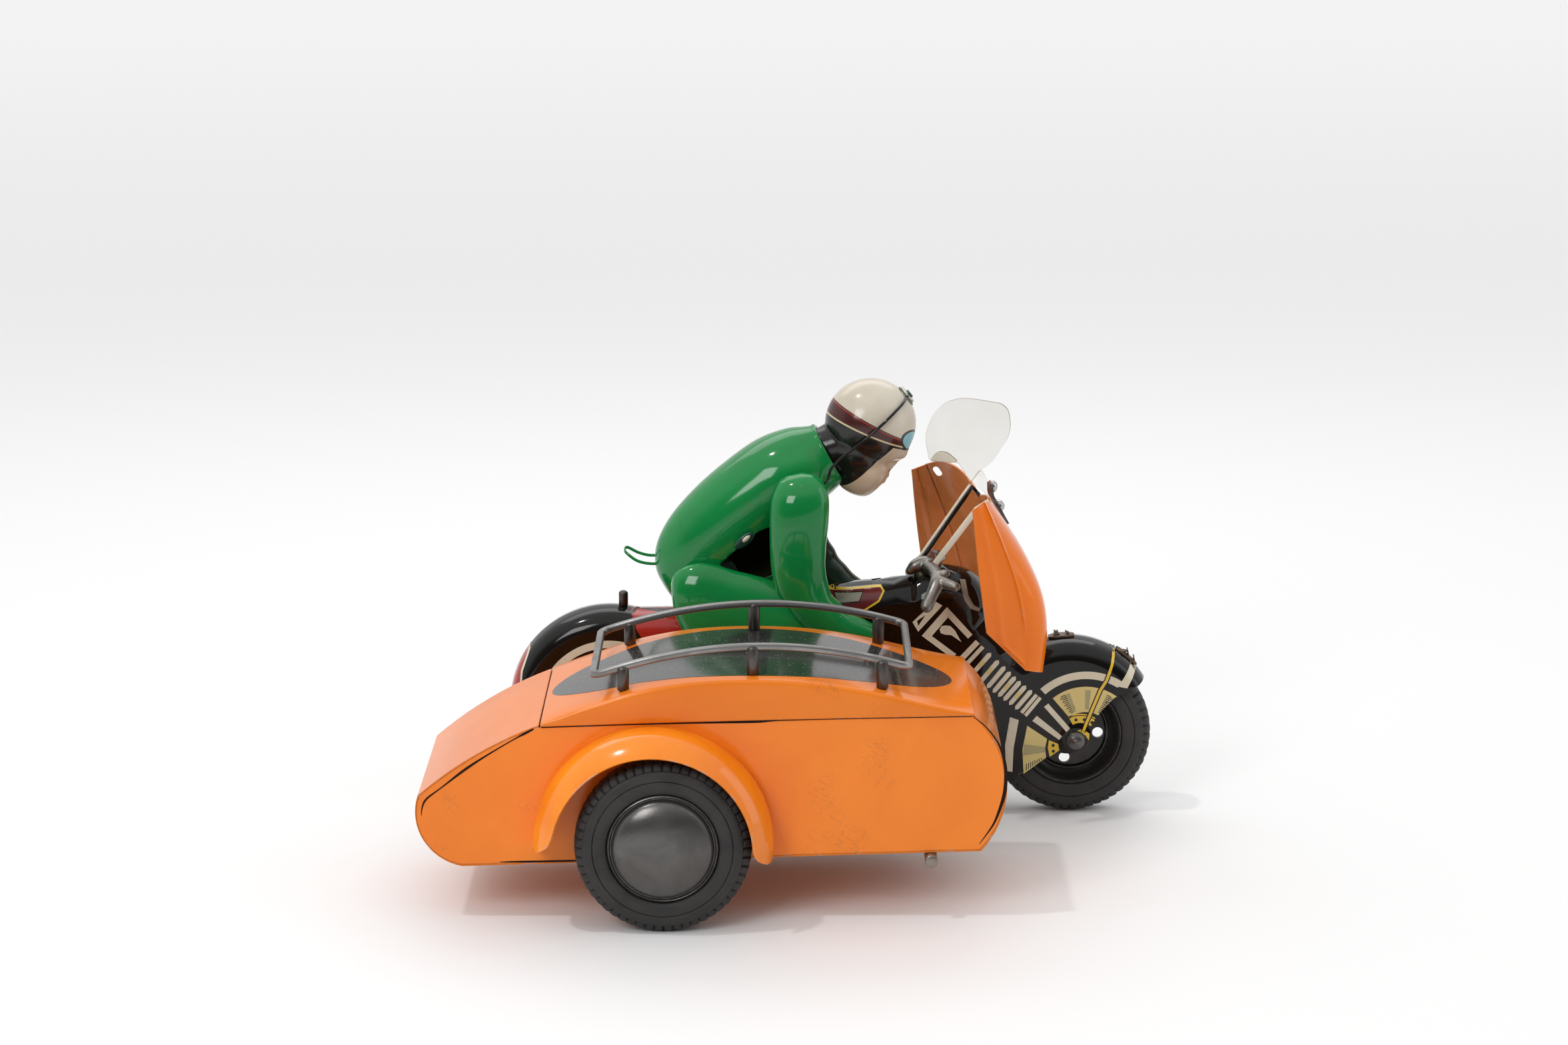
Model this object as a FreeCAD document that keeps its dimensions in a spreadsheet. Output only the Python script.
import FreeCAD, Part
import math
import os

import Sketcher

Vector = FreeCAD.Vector

# Driving dimensions in millimetres and degrees.
# X runs forward, Y to the left and Z up. Stations are measured from a datum between the wheels on the
# motorcycle's centre plane, and middle_x and middle_y bring the whole toy over the origin.
DIMENSIONS = {
    # whole toy
    "middle_x": 5.2, "middle_y": -50.0, "tin": 0.5, "contact": 0.05, "run_gap": 0.3,
    # wheels
    "wheel_radius": 27.5, "tyre_half": 6.5, "tyre_depth": 10.0, "tyre_round": 3.2, "tyre_bead": 0.8, "tread_crown": 0.7,
    "side_tyre_half": 7.0, "disc_half": 0.6, "rim_half": 5.2, "rim_wall": 0.8, "hub_radius": 4.2,
    "hub_half": 6.2, "axle_radius": 1.5, "bore_gap": 0.06, "hole_radius": 1.8, "hole_circle": 9.0,
    "front_axle_x": 97.5, "rear_axle_x": -62.0, "side_axle_x": -37.3, "side_wheel_y": -124.9,
    "cap_inset": 1.7, "cap_height": 4.6, "nut_radius": 3.1, "nut_height": 2.2,
    # motorcycle body pressing
    "flank_half": 10.5, "edge_round": 3.6, "well_gap": 1.7, "well_half": 7.6, "fender_lift": 4.2,
    "belly_z": 14.0, "chin_x": 76.0, "chin_z": 17.5, "heel_x": -42.0,
    "fender_tip_angle": 37.5, "tip_inset": 1.5, "fender_lip_x": 117.6, "fender_lip_z": 42.0,
    "fork_foot_angle": 118.3, "lamp_low_x": 69.0, "lamp_low_z": 71.5,
    "lamp_top_x": 58.5, "lamp_top_z": 85.0, "head_x": 43.8, "head_z": 81.5, "tank_x": 15.9, "tank_z": 77.0,
    "seat_x": -30.0, "seat_z": 70.5, "tail_x": -50.0, "tail_z": 70.3, "rump_lift": 1.4, "rump_z": 31.0,
    "boss_radius": 5.4, "motor_length": 52.0, "motor_half": 7.0, "motor_x": 2.0,
    "motor_top": 58.0, "post_x": -54.4, "post_radius": 1.6, "post_height": 4.4, "post_lift": 2.0, "post_neck": 1.2,
    # sidecar body
    "near_y": -115.85, "sidecar_width": 66.0, "deck_rear_x": -76.3, "deck_rear_z": 62.0,
    "deck_front_x": 58.1, "deck_front_z": 66.0, "nose_low_x": 61.0, "nose_low_z": 22.6,
    "tail_low_x": -100.2, "tail_low_z": 17.7, "tail_top_x": -113.2, "tail_top_z": 39.9,
    "nose_bulge": 9.2, "tail_bulge": 6.0, "deck_bulge": 1.9, "strip_proud": 0.6,
    "lid_rise": 12.6, "lid_over": 0.6, "lid_gap": 0.35, "skirt": 0.5,
    # roof rack
    "rack_rear_x": -60.2, "rack_front_x": 39.9, "rack_rear_z": 76.9, "rack_front_z": 79.7, "rack_rise": 8.0,
    "rack_bar": 2.1, "rack_inset": 6.0, "post_inset": 8.0, "post_pitch": 40.2, "post_middle_x": -9.7,
    "rack_post_radius": 1.9,
    # sidecar fender
    "guard_x": -40.5, "guard_z": 26.0, "guard_gap": 8.8, "guard_lip_gap": 3.8, "guard_width": 18.0,
    "guard_bulge": 3.4, "guard_tin": 0.7, "guard_start": -8.0, "guard_sweep": 191.0,
    # rods under the sidecar
    "rod_radius": 2.1, "front_rod_x": 45.9, "rear_rod_x": -34.0, "rod_stub": 3.0,
    # handlebar
    "bar_x": 47.7, "bar_z": 84.4, "bar_reach": 24.0, "grip_drop": 8.6, "bar_thick": 1.9,
    # leg shield and screen
    "shield_turn": 16.0, "shield_tin": 0.6, "screen_turn": 45.0, "screen_lean": 38.0,
    "screen_half": 19.5, "screen_rise": 13.5, "screen_thick": 0.5,
}
SHEET = "Size"

document = FreeCAD.newDocument("SidecarToy")
sheet = document.addObject("Spreadsheet::Sheet", SHEET)
for row, (alias, number) in enumerate(DIMENSIONS.items(), start=1):
    sheet.set("A%d" % row, alias)
    sheet.set("B%d" % row, str(number))
    sheet.setAlias("B%d" % row, alias)
document.recompute()

NODES = []


def size(name):
    """Read one cell of the sheet."""
    return float(getattr(sheet, name))


def worth(text):
    """Work out an expression over the sheet's cells."""
    return float(sheet.evalExpression(text))


def cells(text):
    """Point bare cell names in an expression at the sheet."""
    words = []
    word = ""
    for letter in text + " ":
        if letter.isalnum() or letter == "_" or letter == ".":
            word += letter
            continue
        words.append(SHEET + "." + word if word in DIMENSIONS else word)
        words.append(letter)
        word = ""
    return "".join(words).strip()


def bind(thing, target, text):
    """Bind one property of an object to an expression over the sheet."""
    thing.setExpression(target, cells(text))


def publish(thing, label, x="0", y="0", z="0"):
    """Name a finished sub-part, place it by expressions and list it for export."""
    thing.Label = label
    bind(thing, "Placement.Base.x", "%s - middle_x" % x)
    bind(thing, "Placement.Base.y", "%s - middle_y" % y)
    bind(thing, "Placement.Base.z", z)
    NODES.append(thing)
    return thing


def plane(body, role):
    """Return one origin plane of a body."""
    return [feature for feature in body.Origin.OriginFeatures if feature.Role == role][0]


def sketch_on(body, role, name, lift=None):
    """Attach a new sketch to an origin plane of its body, lifted along the plane's normal."""
    sketch = body.newObject("Sketcher::SketchObject", name)
    sketch.AttachmentSupport = [(plane(body, role), "")]
    sketch.MapMode = "FlatFace"
    if lift is not None:
        bind(sketch, ".AttachmentOffset.Base.z", lift)
    return sketch


def draw_loop(sketch, corners):
    """Draw a closed loop of lines and arcs.

    Each corner is (x, y) or (x, y, bulge) with expressions over the sheet; bulge is how far the edge
    that starts there bows to the right of its own direction.
    """
    spots = [Vector(worth(cells(c[0])), worth(cells(c[1])), 0) for c in corners]
    starts = []
    ends = []
    for index, corner in enumerate(corners):
        begin = spots[index]
        finish = spots[(index + 1) % len(spots)]
        bulge = worth(cells(corner[2])) if len(corner) > 2 else 0.0
        if len(corner) > 2:
            along = (finish - begin).normalize()
            middle = (begin + finish) * 0.5 + Vector(along.y, -along.x, 0) * bulge
            edge = sketch.addGeometry(Part.Arc(begin, middle, finish))
            turned = sketch.getPoint(edge, 1).distanceToPoint(begin) > sketch.getPoint(edge, 2).distanceToPoint(begin)
        else:
            edge = sketch.addGeometry(Part.LineSegment(begin, finish))
            turned = False
        starts.append((edge, 2 if turned else 1))
        ends.append((edge, 1 if turned else 2))
    for index, corner in enumerate(corners):
        following = (index + 1) % len(corners)
        sketch.addConstraint(Sketcher.Constraint("Coincident", *ends[index], *starts[following]))
        for kind, axis in (("DistanceX", 0), ("DistanceY", 1)):
            number = spots[index][axis]
            name = "%s_%d_%s" % (sketch.Name, starts[index][0], "xy"[axis])
            constraint = sketch.addConstraint(Sketcher.Constraint(kind, -1, 1, *starts[index], number))
            sketch.renameConstraint(constraint, name)
            sketch.setExpression("Constraints." + name, cells(corner[axis]))
    for index, corner in enumerate(corners):
        if len(corner) < 3:
            continue
        after = corners[(index + 1) % len(corners)]
        half = "(((%s) - (%s))^2 + ((%s) - (%s))^2) / 4" % (after[0], corner[0], after[1], corner[1])
        rule = "(%s + (%s)^2) / (2 * abs(%s))" % (half, corner[2], corner[2])
        name = "%s_%d_r" % (sketch.Name, starts[index][0])
        edge = starts[index][0]
        constraint = sketch.addConstraint(Sketcher.Constraint("Radius", edge, worth(cells(rule))))
        sketch.renameConstraint(constraint, name)
        sketch.setExpression("Constraints." + name, cells(rule))


def draw_circle(sketch, x, y, radius):
    """Draw a circle whose centre and radius follow expressions."""
    centre = Vector(worth(cells(x)), worth(cells(y)), 0)
    edge = sketch.addGeometry(Part.Circle(centre, Vector(0, 0, 1), worth(cells(radius))))
    rules = (("DistanceX", (-1, 1, edge, 3), x, "x"), ("DistanceY", (-1, 1, edge, 3), y, "y"),
             ("Radius", (edge,), radius, "r"))
    for kind, items, text, tail in rules:
        name = "%s_c%d_%s" % (sketch.Name, edge, tail)
        constraint = sketch.addConstraint(Sketcher.Constraint(kind, *items, worth(cells(text))))
        sketch.renameConstraint(constraint, name)
        sketch.setExpression("Constraints." + name, cells(text))


def new_body(name):
    """Add an empty body."""
    return document.addObject("PartDesign::Body", name)


def pad(body, sketch, length, both_ways=False, name="Pad"):
    """Pad a sketch by an expression."""
    feature = body.newObject("PartDesign::Pad", body.Name + name)
    feature.Profile = sketch
    feature.SideType = "Symmetric" if both_ways else "One side"
    bind(feature, "Length", length)
    return feature


def pocket_all(body, sketch, length, name="Pocket"):
    """Cut a sketch both ways out of the body by an expression."""
    feature = body.newObject("PartDesign::Pocket", body.Name + name)
    feature.Profile = sketch
    feature.SideType = "Symmetric"
    bind(feature, "Length", length)
    return feature


def spin(body, sketch, angle="360", name="Spin"):
    """Revolve a sketch about its own upright axis."""
    feature = body.newObject("PartDesign::Revolution", body.Name + name)
    feature.Profile = sketch
    feature.ReferenceAxis = (sketch, ["V_Axis"])
    bind(feature, "Angle", angle)
    return feature


def cylinder_along_y(name, radius, length, x, y, z):
    """Add a cylinder that runs along +Y from its start point."""
    rod = document.addObject("Part::Cylinder", name)
    bind(rod, "Radius", radius)
    bind(rod, "Height", length)
    rod.Placement.Rotation = FreeCAD.Rotation(Vector(1, 0, 0), -90)
    for axis, text in (("x", x), ("y", y), ("z", z)):
        bind(rod, "Placement.Base." + axis, text)
    return rod


def fused(name, parts):
    """Fuse several objects."""
    union = document.addObject("Part::MultiFuse", name)
    union.Shapes = parts
    return union


RIM = "(wheel_radius - tyre_depth)"
CAP = "(wheel_radius - tyre_depth - cap_inset)"
WELL = "(wheel_radius + well_gap)"
FENDER = "(wheel_radius + well_gap + fender_lift)"
GUARD = "(wheel_radius + guard_gap)"
GUARD_LIP = "(wheel_radius + guard_lip_gap)"


# Wheels

def make_tyre(label, x, y, half):
    """Revolve a rubber tyre with rounded shoulders about its axle."""
    body = new_body(label)
    profile = sketch_on(body, "XY_Plane", label + "_section")
    steps = [(RIM, "%s - tyre_bead" % half), ("wheel_radius - tread_crown - tyre_round", half),
             ("wheel_radius - tread_crown - 0.4 * tyre_round", "%s - 0.25 * tyre_round" % half),
             ("wheel_radius - tread_crown", "%s - tyre_round" % half),
             ("wheel_radius", "0.4 * (%s)" % half)]
    near = [(reach, "-(%s)" % across) for reach, across in steps]
    draw_loop(profile, near + steps[::-1])
    spin(body, profile)
    return publish(body, label, x, y, "wheel_radius")


def make_disc(label, x, y):
    """Revolve a dished steel wheel and cut its three round holes."""
    body = new_body(label)
    profile = sketch_on(body, "XY_Plane", label + "_section")
    bore = "axle_radius + bore_gap"
    rim = RIM + " - contact"
    web_edge = rim + " - rim_wall"
    draw_loop(profile, [
        (bore, "-hub_half"), ("hub_radius", "-hub_half"), ("hub_radius", "-disc_half"),
        (web_edge, "-disc_half"), (web_edge, "-rim_half"),
        (rim, "-rim_half"), (rim, "rim_half"), (web_edge, "rim_half"),
        (web_edge, "disc_half"), ("hub_radius", "disc_half"),
        ("hub_radius", "hub_half"), (bore, "hub_half")])
    spin(body, profile)
    holes = sketch_on(body, "XZ_Plane", label + "_hole")
    draw_circle(holes, "hole_circle", "0", "hole_radius")
    cut = pocket_all(body, holes, "6 * disc_half")
    document.recompute()
    ring = body.newObject("PartDesign::PolarPattern", label + "_holes")
    ring.Originals = [cut]
    ring.Axis = (holes, ["N_Axis"])
    ring.Occurrences = 3
    ring.Angle = 360
    body.Tip = ring
    return publish(body, label, x, y, "wheel_radius")


def make_axle(label, x):
    """Make a through axle with a domed nut outside each flank."""
    reach = "flank_half + nut_height"
    shaft = cylinder_along_y(label + "_shaft", "axle_radius", "2 * (%s)" % reach, x, "-(%s)" % reach, "wheel_radius")
    near = cylinder_along_y(label + "_near_nut", "nut_radius", "nut_height", x, "-(%s)" % reach, "wheel_radius")
    far = cylinder_along_y(label + "_far_nut", "nut_radius", "nut_height", x, "flank_half", "wheel_radius")
    return publish(fused(label, [shaft, near, far]), label)


make_tyre("front_tyre", "front_axle_x", "0", "tyre_half")
make_disc("front_disc", "front_axle_x", "0")
make_axle("front_axle", "front_axle_x")
make_tyre("rear_tyre", "rear_axle_x", "0", "tyre_half")
make_disc("rear_disc", "rear_axle_x", "0")
make_axle("rear_axle", "rear_axle_x")
make_tyre("side_tyre", "side_axle_x", "side_wheel_y", "side_tyre_half")


def make_side_hub():
    """Revolve the sidecar wheel's disc with its domed cap on the outside."""
    body = new_body("side_hub")
    profile = sketch_on(body, "XY_Plane", "side_hub_section")
    bore = "axle_radius + bore_gap"
    rim = RIM + " - contact"
    web_edge = rim + " - rim_wall"
    face = "-side_tyre_half + tyre_bead"
    draw_loop(profile, [
        ("0", "%s - cap_height" % face, "cap_height * 0.34"), (CAP, face), (rim, face), (rim, "rim_half"),
        (web_edge, "rim_half"), (web_edge, "disc_half"),
        ("hub_radius", "disc_half"), ("hub_radius", "hub_half"), (bore, "hub_half"), (bore, "-hub_half + 2"),
        ("0", "-hub_half + 2")])
    spin(body, profile)
    return publish(body, "side_hub", "side_axle_x", "side_wheel_y", "wheel_radius")


make_side_hub()
side_pin = cylinder_along_y("side_pin", "axle_radius", "near_y - tin - side_wheel_y + hub_half - 2.6",
                            "side_axle_x", "side_wheel_y - hub_half + 2.6", "wheel_radius")
side_flange = cylinder_along_y("side_flange", "2.6 * axle_radius", "near_y - side_wheel_y - hub_half - tin - run_gap",
                               "side_axle_x", "side_wheel_y + hub_half + run_gap", "wheel_radius")
publish(fused("side_axle", [side_pin, side_flange]), "side_axle")


# Motorcycle body: two pressed halves that meet on the centre plane

def round_front(angle, inset):
    """Give a corner of the front fender's outline at an angle about the front axle."""
    reach = "(%s - %s)" % (FENDER, inset)
    return ("front_axle_x + %s * cos(%s)" % (reach, angle), "wheel_radius + %s * sin(%s)" % (reach, angle))


def make_cycle_solid():
    """Pad the side view of the pressing and round its upper edges."""
    body = new_body("cycle_solid")
    side = sketch_on(body, "XZ_Plane", "cycle_outline")
    boss_low = "wheel_radius - boss_radius"
    draw_loop(side, [
        ("chin_x", "chin_z"), ("front_axle_x - 3.2", "%s + 1" % boss_low, "1.5"),
        ("front_axle_x + boss_radius", "wheel_radius + 1.5", "-2.2"), ("fender_lip_x", "fender_lip_z"),
        round_front("fender_tip_angle", "tip_inset") + ("7.6",), round_front("fork_foot_angle", "0"),
        ("lamp_low_x", "lamp_low_z", "3.5"), ("lamp_top_x", "lamp_top_z"), ("head_x", "head_z"),
        ("tank_x", "tank_z"), ("seat_x", "seat_z"), ("tail_x", "tail_z", "16.1"),
        ("rear_axle_x - %s - rump_lift" % WELL, "rump_z"),
        ("rear_axle_x - boss_radius", "wheel_radius - 2", "2.0"), ("rear_axle_x + boss_radius - 1", boss_low),
        ("heel_x", "belly_z"), ("chin_x - 14", "belly_z")])
    pad(body, side, "2 * flank_half", True)
    return body


solid = make_cycle_solid()
document.recompute()


def top_edges(shape):
    """Pick the outer edges that run along the top of the pressing."""
    chosen = []
    half = size("flank_half")
    for number, edge in enumerate(shape.Edges, start=1):
        middle = edge.valueAt((edge.FirstParameter + edge.LastParameter) / 2)
        on_side = abs(abs(middle.y) - half) < 0.01 and abs(edge.BoundBox.YLength) < 0.01
        on_top = middle.z > size("seat_z") - 0.5
        on_guard = edge.Curve.TypeId == "Part::GeomCircle" and edge.Curve.Radius > 30 and middle.z > 50
        if on_side and (on_top or on_guard):
            chosen.append("Edge%d" % number)
    return chosen


pressed = solid.Tip
rounding = solid.newObject("PartDesign::Fillet", "cycle_rounding")
rounding.Base = (pressed, top_edges(pressed.Shape))
bind(rounding, "Radius", "edge_round")
solid.Tip = rounding

wells = [cylinder_along_y("front_well", WELL, "2 * well_half", "front_axle_x", "-well_half", "wheel_radius"),
         cylinder_along_y("rear_well", WELL, "2 * well_half", "rear_axle_x", "-well_half", "wheel_radius")]
motor_bay = document.addObject("Part::Box", "motor_bay")
bind(motor_bay, "Length", "motor_length + 2 * run_gap")
bind(motor_bay, "Width", "2 * (motor_half + run_gap)")
bind(motor_bay, "Height", "motor_top - belly_z + 5 + run_gap")
bind(motor_bay, "Placement.Base.x", "motor_x - motor_length / 2 - run_gap")
bind(motor_bay, "Placement.Base.y", "-motor_half - run_gap")
bind(motor_bay, "Placement.Base.z", "belly_z - 5")
bores = [cylinder_along_y(name, "axle_radius + contact", "4 * flank_half", x, "-2 * flank_half", "wheel_radius")
         for name, x in (("front_bore", "front_axle_x"), ("rear_bore", "rear_axle_x"))]
hollows = fused("cycle_hollows", wells + [motor_bay] + bores)
opened = document.addObject("Part::Cut", "cycle_opened")
opened.Base = solid
opened.Tool = hollows
for label, start in (("body_half_near", "-2 * flank_half"), ("body_half_far", "0")):
    block = document.addObject("Part::Box", label + "_side")
    bind(block, "Length", "400")
    bind(block, "Width", "2 * flank_half")
    bind(block, "Height", "200")
    bind(block, "Placement.Base.x", "-200")
    bind(block, "Placement.Base.y", start)
    half = document.addObject("Part::Common", label)
    half.Base = opened
    half.Tool = block
    publish(half, label)

motor = document.addObject("Part::Box", "motor_block")
bind(motor, "Length", "motor_length")
bind(motor, "Width", "2 * motor_half")
bind(motor, "Height", "motor_top - belly_z - 2")
publish(motor, "motor_block", "motor_x - motor_length / 2", "-motor_half", "belly_z + 2")

# The tail post stands on a slimmer neck, whose foot follows the pressing's curve.
stub = document.addObject("Part::Cylinder", "tail_stub")
bind(stub, "Radius", "post_radius")
bind(stub, "Height", "post_height")
bind(stub, "Placement.Base.x", "post_x")
bind(stub, "Placement.Base.z", "tail_z + post_lift")
neck = document.addObject("Part::Cylinder", "tail_neck")
bind(neck, "Radius", "post_neck")
bind(neck, "Height", "2 * post_lift")
bind(neck, "Placement.Base.x", "post_x")
bind(neck, "Placement.Base.z", "tail_z - post_lift")
post = document.addObject("Part::Cut", "tail_post")
post.Base = fused("tail_post_whole", [stub, neck])
post.Tool = solid
publish(post, "tail_post")


# Sidecar body

def sidecar_corners(grow):
    """Give the sidecar's side view, grown outward by an expression."""
    return [
        ("deck_rear_x", "deck_rear_z + %s" % grow, "deck_bulge"),
        ("tail_top_x - %s" % grow, "tail_top_z + 0.3 * (%s)" % grow, "tail_bulge"),
        ("tail_low_x - 0.3 * (%s)" % grow, "tail_low_z - %s" % grow),
        ("nose_low_x + 0.5 * (%s)" % grow, "nose_low_z - %s" % grow, "nose_bulge"),
        ("deck_front_x + %s" % grow, "deck_front_z")]


def turn_loop(corners):
    """Run a loop the other way round, so that its bulges point outward."""
    count = len(corners)
    turned = []
    for index in range(count):
        here = corners[(count - index) % count]
        edge = corners[(count - index - 1) % count]
        item = (here[0], here[1])
        if len(edge) > 2:
            item += ("-(%s)" % edge[2],)
        turned.append(item)
    return turned


def make_panel(label, y):
    """Pad one flat side panel of the sidecar."""
    body = new_body(label)
    outline = sketch_on(body, "XZ_Plane", label + "_outline")
    draw_loop(outline, turn_loop(sidecar_corners("0")))
    pad(body, outline, "tin", True)
    return publish(body, label, "0", y, "0")


make_panel("side_panel_near", "near_y")
make_panel("side_panel_far", "near_y + sidecar_width")


def make_wrap():
    """Pad the strip that wraps nose, bottom and tail, and cut it open under the lid."""
    body = new_body("wrap_strip")
    outer = sketch_on(body, "XZ_Plane", "wrap_outer")
    draw_loop(outer, turn_loop(sidecar_corners("strip_proud + contact")))
    pad(body, outer, "sidecar_width + tin", True)
    inner = sketch_on(body, "XZ_Plane", "wrap_inner")
    draw_loop(inner, turn_loop(sidecar_corners("contact")))
    pocket_all(body, inner, "2 * sidecar_width")
    mouth = sketch_on(body, "XZ_Plane", "wrap_mouth")
    draw_loop(mouth, [("deck_rear_x + 0.5", "deck_rear_z - 3"), ("deck_front_x", "deck_front_z - 3"),
                      ("deck_front_x", "deck_front_z + 5"), ("deck_rear_x + 0.5", "deck_rear_z + 5")])
    pocket_all(body, mouth, "2 * sidecar_width", "Mouth")
    return publish(body, "wrap_strip", "0", "near_y + sidecar_width / 2", "0")


make_wrap()


def make_lid():
    """Pad the arched lid and hollow it from below."""
    body = new_body("lid")
    outer = sketch_on(body, "XZ_Plane", "lid_outer")
    draw_loop(outer, [("deck_rear_x + 1", "deck_rear_z + lid_gap"), ("deck_front_x + lid_over", "deck_front_z + lid_gap"),
                      ("deck_front_x + lid_over", "deck_front_z + lid_gap + 0.8", "lid_rise"),
                      ("deck_rear_x + 1", "deck_rear_z + lid_gap + 0.8")])
    pad(body, outer, "sidecar_width + tin + 2 * lid_over", True)
    inner = sketch_on(body, "XZ_Plane", "lid_inner")
    draw_loop(inner, [("deck_rear_x + 1 + skirt", "deck_rear_z - 1"), ("deck_front_x + lid_over - skirt", "deck_front_z - 1"),
                      ("deck_front_x + lid_over - skirt", "deck_front_z + lid_gap + 0.8 - skirt", "lid_rise"),
                      ("deck_rear_x + 1 + skirt", "deck_rear_z + lid_gap + 0.8 - skirt")])
    pocket_all(body, inner, "sidecar_width + tin + 2 * lid_over - 2 * skirt")
    return publish(body, "lid", "0", "near_y + sidecar_width / 2", "0")


make_lid()


def arch_height(x, x_low, z_low, x_high, z_high, rise):
    """Work out a chorded arch's height at a station, for placing what stands on it."""
    chord = Vector(x_high - x_low, 0, z_high - z_low)
    reach = chord.Length / 2
    radius = (reach ** 2 + rise ** 2) / (2 * rise)
    normal = Vector(-chord.z, 0, chord.x).normalize()
    centre = Vector((x_low + x_high) / 2, 0, (z_low + z_high) / 2) + normal * (rise - radius)
    return centre.z + math.sqrt(radius ** 2 - (x - centre.x) ** 2)


def make_rack():
    """Pad the arched rail and cut its window, leaving a closed loop of bar."""
    body = new_body("rack_rail")
    arch = sketch_on(body, "XZ_Plane", "rack_arch")
    draw_loop(arch, [("rack_rear_x", "rack_rear_z - rack_bar / 2", "-rack_rise"),
                     ("rack_front_x", "rack_front_z - rack_bar / 2"),
                     ("rack_front_x", "rack_front_z + rack_bar / 2", "rack_rise"),
                     ("rack_rear_x", "rack_rear_z + rack_bar / 2")])
    pad(body, arch, "sidecar_width - 2 * rack_inset + rack_bar", True)
    window = sketch_on(body, "XY_Plane", "rack_window", "rack_rear_z")
    inside = "sidecar_width / 2 - rack_inset - rack_bar / 2"
    draw_loop(window, [("rack_rear_x + rack_bar", "-(%s)" % inside), ("rack_front_x - rack_bar", "-(%s)" % inside),
                       ("rack_front_x - rack_bar", inside), ("rack_rear_x + rack_bar", inside)])
    pocket_all(body, window, "6 * rack_rise")
    return publish(body, "rack_rail", "0", "near_y + sidecar_width / 2", "0")


make_rack()


def make_rack_posts():
    """Stand three posts on the lid under each side bar of the rack."""
    posts = []
    lid_line = (size("deck_rear_x") + 1, size("deck_rear_z") + size("lid_gap") + 0.8,
                size("deck_front_x") + size("lid_over"), size("deck_front_z") + size("lid_gap") + 0.8, size("lid_rise"))
    rack_line = (size("rack_rear_x"), size("rack_rear_z") - size("rack_bar") / 2,
                 size("rack_front_x"), size("rack_front_z") - size("rack_bar") / 2, size("rack_rise"))
    reach = size("rack_post_radius")
    for side in (-1, 1):
        across = size("near_y") + size("sidecar_width") / 2
        across += side * (size("sidecar_width") / 2 - size("rack_inset") - 0.2)
        for step in (-1, 0, 1):
            x = size("post_middle_x") + step * size("post_pitch")
            low = max(arch_height(x - reach, *lid_line), arch_height(x + reach, *lid_line), arch_height(x, *lid_line))
            high = min(arch_height(x - reach, *rack_line), arch_height(x + reach, *rack_line))
            posts.append(Part.makeCylinder(reach, high - low, Vector(x, across, low)))
    feature = document.addObject("Part::Feature", "rack_posts")
    feature.Shape = Part.makeCompound(posts)
    return publish(feature, "rack_posts")


make_rack_posts()


def make_guard():
    """Revolve the sidecar wheel's fender through its arc."""
    body = new_body("side_fender")
    section = sketch_on(body, "XY_Plane", "guard_section")
    draw_loop(section, [
        (GUARD, "0"), (GUARD + " - guard_tin", "0", "-guard_bulge"),
        (GUARD_LIP + " - guard_tin", "-guard_width"), (GUARD_LIP, "-guard_width", "guard_bulge")])
    sweep = spin(body, section, "guard_sweep")
    sweep.Reversed = True
    publish(body, "side_fender", "guard_x", "near_y - tin / 2 - contact", "guard_z")
    bind(body, "Placement.Rotation.Angle", "-guard_start")
    body.Placement.Rotation.Axis = Vector(0, 1, 0)
    return body


guard = make_guard()
guard.setExpression("Placement.Rotation.Angle", None)
guard.Placement.Rotation = FreeCAD.Rotation(Vector(0, 1, 0), -size("guard_start"))

# Rods that tie the sidecar to the motorcycle
bottom_slope = "((nose_low_z - tail_low_z) / (nose_low_x - tail_low_x))"
for label, x, stub_length in (("front_rod", "front_rod_x", "rod_stub"), ("rear_rod", "rear_rod_x", "0")):
    drop = "tail_low_z + (%s - tail_low_x) * %s - strip_proud - contact - rod_radius - contact" % (x, bottom_slope)
    rod = cylinder_along_y(label, "rod_radius", "-flank_half - near_y + %s" % stub_length, "0", "0", "0")
    publish(rod, label, x, "near_y - %s" % stub_length, drop)


# Handlebar, cast in one piece

def tapered(start, end, radius_start, radius_end):
    """Give a tapered round limb between two points with ball ends."""
    along = end - start
    limb = Part.makeCone(radius_start, radius_end, along.Length, start, along)
    return limb.fuse([Part.makeSphere(radius_start, start), Part.makeSphere(radius_end, end)])


def make_handlebar():
    """Join clamp, arms, grips and levers of the cast handlebar."""
    thick = size("bar_thick")
    x = size("bar_x")
    z = size("bar_z")
    reach = size("bar_reach")
    shape = Part.makeCylinder(3.4, 5.0, Vector(x, 0, z - 1.9))
    for side in (-1, 1):
        shoulder = Vector(x + 3.0, side * 0.55 * reach, z + 2.2)
        grip = Vector(x - 1.3, side * reach, z - size("grip_drop") + 1)
        lever = Vector(x + 9.5, side * reach, z - 0.6)
        root = Vector(x, side * 1.5, z + 1.4)
        for begin, end, wide, slim in ((root, shoulder, 2.2, thick), (shoulder, grip, thick, thick + 0.3),
                                       (shoulder, lever, thick, thick - 0.4)):
            shape = shape.fuse(tapered(begin, end, wide, slim))
    feature = document.addObject("Part::Feature", "handlebar")
    feature.Shape = shape.cut(solid.Shape).removeSplitter()
    return publish(feature, "handlebar")


make_handlebar()


# Leg shield, one folded sheet that wraps both legs and meets in front

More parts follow.
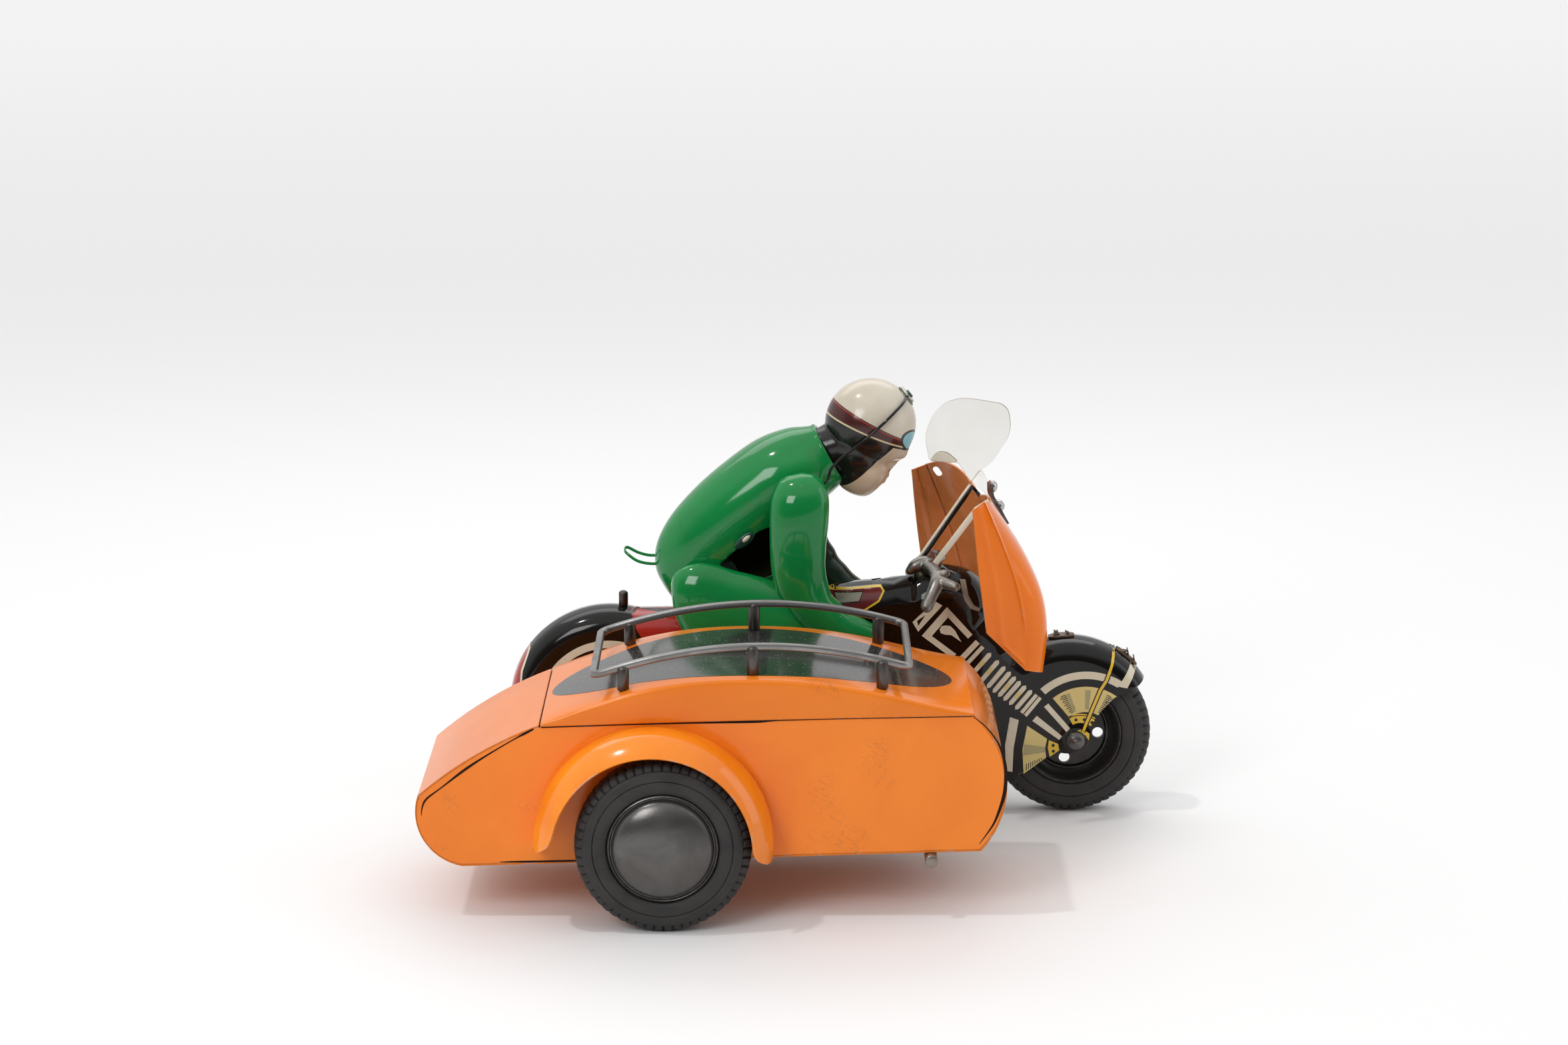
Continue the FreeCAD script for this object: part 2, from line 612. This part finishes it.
def sheet_solid(rows, thickness):
    """Close a grid of points and its inward offset into one solid.

    rows is a list of equally long lists of points. The offset goes against the grid's own normals.
    """
    high = len(rows)
    wide = len(rows[0])
    offset = []
    for i in range(high):
        line = []
        for j in range(wide):
            up = rows[min(i + 1, high - 1)][j] - rows[max(i - 1, 0)][j]
            over = rows[i][min(j + 1, wide - 1)] - rows[i][max(j - 1, 0)]
            line.append(rows[i][j] - over.cross(up).normalize() * thickness)
        offset.append(line)
    faces = []

    def tile(a, b, c, d):
        faces.append(Part.Face(Part.makePolygon([a, b, c, a])))
        faces.append(Part.Face(Part.makePolygon([a, c, d, a])))

    for i in range(high - 1):
        for j in range(wide - 1):
            tile(rows[i][j], rows[i][j + 1], rows[i + 1][j + 1], rows[i + 1][j])
            tile(offset[i][j], offset[i + 1][j], offset[i + 1][j + 1], offset[i][j + 1])
    for j in range(wide - 1):
        tile(rows[0][j], offset[0][j], offset[0][j + 1], rows[0][j + 1])
        tile(rows[-1][j], rows[-1][j + 1], offset[-1][j + 1], offset[-1][j])
    for i in range(high - 1):
        tile(rows[i][0], rows[i + 1][0], offset[i + 1][0], offset[i][0])
        tile(rows[i][-1], offset[i][-1], offset[i + 1][-1], rows[i + 1][-1])
    shell = Part.makeShell(faces)
    shell.sewShape()
    solid_shape = Part.makeSolid(shell)
    if solid_shape.Volume < 0:
        solid_shape.reverse()
    return solid_shape


def turned_about_bar(shape):
    """Turn a shape about the handlebar's upright axis by the shield's turn."""
    shape.rotate(Vector(size("bar_x"), 0, 0), Vector(0, 0, 1), size("shield_turn"))
    return Part.makeCompound([shape])


def shield_point(height, across):
    """Give a point of the near wing: height 0 to 1 from bottom to top, across 0 at the rear edge to 1."""
    rear = [Vector(60.5, -32.0, 66.5), Vector(57.0, -33.0, 80.0), Vector(54.6, -33.0, 96.0), Vector(53.7, -32.9, 112.0)]
    fold = [Vector(74.1, -29.0, 56.8), Vector(68.0, -30.0, 76.0), Vector(63.0, -30.6, 95.0), Vector(58.0, -31.0, 113.3)]
    lead = [Vector(82.6, -20.9, 57.4), Vector(82.9, -18.5, 74.8), Vector(79.5, -12.0, 92.0), Vector(74.5, -7.0, 109.5)]
    place = height * (len(rear) - 1)
    low = min(int(place), len(rear) - 2)
    part = place - low
    ends = [line[low] * (1 - part) + line[low + 1] * part for line in (rear, fold, lead)]
    if across < 0.4:
        return ends[0] * (1 - across / 0.4) + ends[1] * (across / 0.4)
    share = (across - 0.4) / 0.6
    bow = Vector(1.6, -2.4, 0) * 4 * share * (1 - share)
    return ends[1] * (1 - share) + ends[2] * share + bow


def make_shield():
    """Build both wings and the crown that joins them in front."""
    tin = size("shield_tin")
    rows = [[shield_point(i / 9, j / 10) for j in range(11)] for i in range(10)]
    near = sheet_solid(rows, tin)
    far = near.mirror(Vector(0, 0, 0), Vector(0, 1, 0))
    crown_rows = []
    for height in (0.86, 0.93, 1.0):
        start = shield_point(height, 1.0)
        line = []
        for step in range(7):
            share = step / 6
            across = start.y * (1 - 2 * share)
            line.append(Vector(start.x + 2.2 * 4 * share * (1 - share), across, start.z + 1.2 * 4 * share * (1 - share)))
        crown_rows.append(line)
    crown = sheet_solid(crown_rows, tin)
    shape = near.fuse([far, crown])
    feature = document.addObject("Part::Feature", "leg_shield")
    feature.Shape = turned_about_bar(shape)
    return publish(feature, "leg_shield")


make_shield()


def make_stays():
    """Run a flat stay from the clamp to each side of the leg shield's crown."""
    stays = []
    for side in (-1, 1):
        low = Vector(size("bar_x") + 1.5, side * 2.4, size("bar_z") + 4.3)
        high = shield_point(0.96, 0.93)
        high = Vector(high.x - 1.6, side * abs(high.y) * 0.93, high.z - 0.4)
        along = high - low
        strip = Part.makeBox(along.Length, 0.6, 2.0, Vector(0, -0.3, -1.0))
        strip.Placement = FreeCAD.Placement(low, FreeCAD.Rotation(Vector(1, 0, 0), along))
        stays.append(strip)
    feature = document.addObject("Part::Feature", "stays")
    feature.Shape = turned_about_bar(Part.makeCompound(stays))
    return publish(feature, "stays")


make_stays()


def make_screen():
    """Cut the clear screen with its narrow neck from flat sheet, lean it back and turn it."""
    half = size("screen_half")
    rise = size("screen_rise")
    thick = size("screen_thick")
    oval = Part.Ellipse(Vector(0, 0, 0), half, rise).toShape()
    blade = Part.Face(Part.Wire([oval]))
    neck = Part.Face(Part.makePolygon([Vector(-4.5, -rise - 9.5, 0), Vector(4.5, -rise - 9.5, 0), Vector(3, -rise + 1.5, 0),
                                       Vector(-3, -rise + 1.5, 0), Vector(-4.5, -rise - 9.5, 0)]))
    pane = blade.extrude(Vector(0, 0, thick)).fuse(neck.extrude(Vector(0, 0, thick))).removeSplitter()
    pane.translate(Vector(0, rise + 9.5, -thick / 2))
    stand = FreeCAD.Rotation(Vector(0, 0, 1), 90) * FreeCAD.Rotation(Vector(1, 0, 0), 90 - size("screen_lean"))
    turn = FreeCAD.Rotation(Vector(0, 0, 1), size("screen_turn"))
    pane.Placement = FreeCAD.Placement(Vector(77.2, 8.6, 111.3), turn * stand) * pane.Placement
    feature = document.addObject("Part::Feature", "screen")
    feature.Shape = Part.makeCompound([pane])
    return publish(feature, "screen")


make_screen()


# Rider

def oval_wire(centre, normal, across, along):
    """Give an ellipse square to a spine direction in the X-Z plane."""
    normal = normal.normalize()
    flat = normal.cross(Vector(0, 1, 0)).normalize()
    if across >= along:
        curve = Part.Ellipse(centre + Vector(0, across, 0), centre + flat * along, centre)
    else:
        curve = Part.Ellipse(centre + flat * along, centre + Vector(0, across, 0), centre)
    return Part.Wire([curve.toShape()])


def limb(stations):
    """Loft a limb through oval sections: (centre, spine direction, half width, half depth)."""
    return Part.makeLoft([oval_wire(*station) for station in stations], True, True)


def rider_feature(label, shape):
    """Publish one pressed piece of the rider."""
    feature = document.addObject("Part::Feature", label)
    feature.Shape = shape
    return publish(feature, label)


torso = limb([
    (Vector(-24, 0, 72.5), Vector(-0.3, 0, 1), 11.5, 13.0),
    (Vector(-27.5, 0, 84), Vector(-0.15, 0, 1), 13.0, 15.0),
    (Vector(-26, 0, 97), Vector(0.3, 0, 1), 14.2, 15.0),
    (Vector(-17, 0, 109), Vector(0.75, 0, 1), 15.5, 15.2),
    (Vector(-5, 0, 118), Vector(1, 0, 0.8), 15.8, 13.5),
    (Vector(6, 0, 122.5), Vector(1, 0, 0.45), 12.5, 10.5),
    (Vector(13, 0, 125), Vector(1, 0, 0.35), 8.2, 7.8)])
torso = torso.cut(solid.Shape)
rider_feature("rider_torso", torso)

skull = Part.makeSphere(1.0)
scaling = FreeCAD.Matrix()
scaling.scale(15.6, 13.4, 15.4)
skull = skull.transformGeometry(scaling)
skull.translate(Vector(28.6, 0, 134.4))
jaw = Part.makeSphere(1.0)
scaling = FreeCAD.Matrix()
scaling.scale(11.0, 9.5, 12.5)
jaw = jaw.transformGeometry(scaling)
jaw.translate(Vector(27.5, 0, 123.0))
collar = Part.makeCone(7.6, 8.4, 9.0, Vector(13.6, 0, 125.2), Vector(1, 0, 0.4))
rider_feature("rider_head", skull.fuse([jaw, collar]).cut(torso))

for side, tag in ((-1, "near"), (1, "far")):
    arm = limb([
        (Vector(2.5, side * 17.6, 119.0), Vector(0.25, 0, -1), 3.5, 4.0),
        (Vector(4.2, side * 19.4, 112.0), Vector(0.1, 0, -1), 6.0, 9.4),
        (Vector(5.4, side * 20.4, 100.0), Vector(0.05, 0, -1), 6.2, 9.0),
        (Vector(6.8, side * 20.6, 86.0), Vector(0.2, 0, -1), 5.6, 7.4),
        (Vector(11.0, side * 20.2, 74.0), Vector(0.7, 0, -1), 5.2, 6.6),
        (Vector(21.0, side * 19.4, 66.5), Vector(1, 0, -0.5), 4.6, 5.4),
        (Vector(31.0, side * 18.6, 64.5), Vector(1, 0, -0.1), 3.8, 4.2)])
    rider_feature("rider_arm_" + tag, arm.cut(torso))
    leg = limb([
        (Vector(-37.5, side * 15.6, 77.0), Vector(1, 0, -0.1), 4.0, 5.0),
        (Vector(-29.0, side * 16.6, 76.5), Vector(1, 0, -0.2), 5.2, 9.8),
        (Vector(-14.0, side * 17.6, 71.5), Vector(1, 0, -0.4), 6.0, 9.6),
        (Vector(0.0, side * 18.0, 62.0), Vector(1, 0, -1), 6.0, 8.4),
        (Vector(4.0, side * 17.6, 50.0), Vector(-0.2, 0, -1), 5.6, 7.0),
        (Vector(0.0, side * 16.6, 34.0), Vector(-0.2, 0, -1), 4.6, 5.4),
        (Vector(-1.5, side * 16.0, 24.0), Vector(0, 0, -1), 4.2, 5.4)])
    boot = limb([
        (Vector(-8.0, side * 16.0, 21.0), Vector(1, 0, 0), 3.4, 3.0),
        (Vector(-2.0, side * 16.2, 21.6), Vector(1, 0, 0), 4.3, 4.5),
        (Vector(8.0, side * 16.6, 20.4), Vector(1, 0, 0), 4.4, 3.4),
        (Vector(14.0, side * 16.6, 19.8), Vector(1, 0, 0), 3.0, 2.4)])
    flank = Part.makeBox(300, 2 * size("flank_half") + 0.1, 200, Vector(-150, -size("flank_half") - 0.05, 0))
    rider_feature("rider_leg_" + tag, leg.fuse(boot).cut([torso, flank, arm]))

document.recompute()


def check(thing):
    """Stop on a sub-part that failed or has no sound shape."""
    if "Invalid" in thing.State or "Error" in thing.State:
        raise RuntimeError("%s failed: %s" % (thing.Label, thing.State))


for thing in document.Objects:
    check(thing)
os.makedirs("parts", exist_ok=True)
whole = FreeCAD.BoundBox()
for node in NODES:
    if node.Shape.isNull() or not node.Shape.isValid():
        raise RuntimeError("%s has no valid shape" % node.Label)
    node.Shape.exportStep(os.path.join("parts", node.Label + ".step"))
    whole.add(node.Shape.BoundBox)
    print(node.Label, len(node.Shape.Solids), round(node.Shape.Volume, 1))
print("whole", whole)
